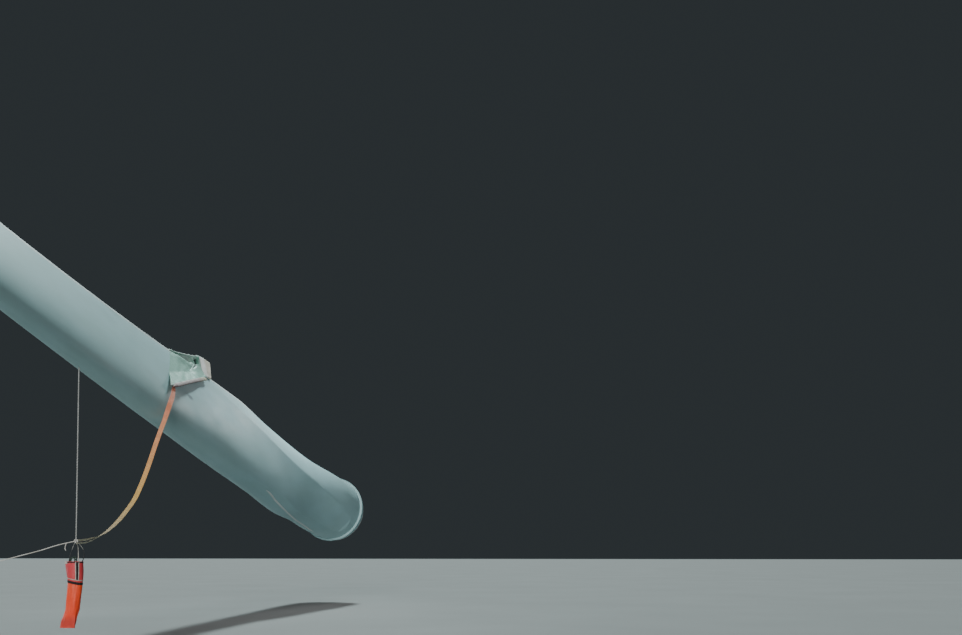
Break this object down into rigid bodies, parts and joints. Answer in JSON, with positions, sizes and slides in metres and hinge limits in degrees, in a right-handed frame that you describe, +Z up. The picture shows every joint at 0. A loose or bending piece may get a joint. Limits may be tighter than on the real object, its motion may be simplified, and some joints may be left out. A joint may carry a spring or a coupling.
{
  "type": "wind turbine blade",
  "caption": "Long twisted and bent rotor blade with a round bolted root, a padded cover on its trailing edge, and a strap, rope and rope bag hung below it.",
  "frame": {"origin": "centre of the root face, on the bulkhead, flush with the root ring", "axes": "+X level, below the span, from the root to the tip; +Y to the side that the pressure side faces; +Z up as the blade hangs level on its hub, with the trailing edge up. The span rises 6.5 degrees from +X"},
  "size_m": [38.6986, 3.715, 8.6363],
  "materials": {
    "gelcoat": "pale grey gelcoat, faintly green, soft sheen, dusty",
    "laminate": "bare glass laminate, dull yellow green",
    "tip_metal": "plain cast metal, lightly weathered",
    "root_steel": "machined steel, oiled",
    "black_rubber": "matt black rubber",
    "edge_shield": "flexible edge coat, duller than the gelcoat",
    "cover_cloth": "pale green coated cloth over padding, creased",
    "strap_webbing": "orange woven webbing, faded yellow low down",
    "rope": "grey twisted rope",
    "bag_cloth": "red orange coated cloth, scuffed",
    "band_cloth": "black woven band"
  },
  "bodies": {
    "root": {"pressure_shell": "gelcoat", "suction_shell": "gelcoat", "pressure_spar_cap": "laminate", "suction_spar_cap": "laminate", "leading_web": "laminate", "trailing_web": "laminate", "tip_block": "tip_metal", "root_flange": "root_steel", "root_bulkhead": "laminate", "hatch_cover": "tip_metal", "rain_collar": "gelcoat", "hatch_handle_left": "root_steel", "hatch_handle_right": "root_steel", "receptor_pressure_1": "tip_metal", "receptor_pressure_2": "tip_metal", "receptor_pressure_3": "tip_metal", "receptor_suction_1": "tip_metal", "receptor_suction_2": "tip_metal", "receptor_suction_3": "tip_metal", "drain_plug": "black_rubber", "leading_edge_shield": "edge_shield", "edge_cover": "cover_cloth", "edge_block": "cover_cloth", "rigging_knot": "rope", "drop_rope": "rope", "sling_strap": "strap_webbing", "tag_line": "rope", "tag_end_loop": "rope", "rope_bag": "bag_cloth", "bag_band": "band_cloth", "bag_handle_left": "band_cloth", "bag_handle_middle": "band_cloth", "bag_handle_right": "band_cloth"}
  },
  "joints": []
}
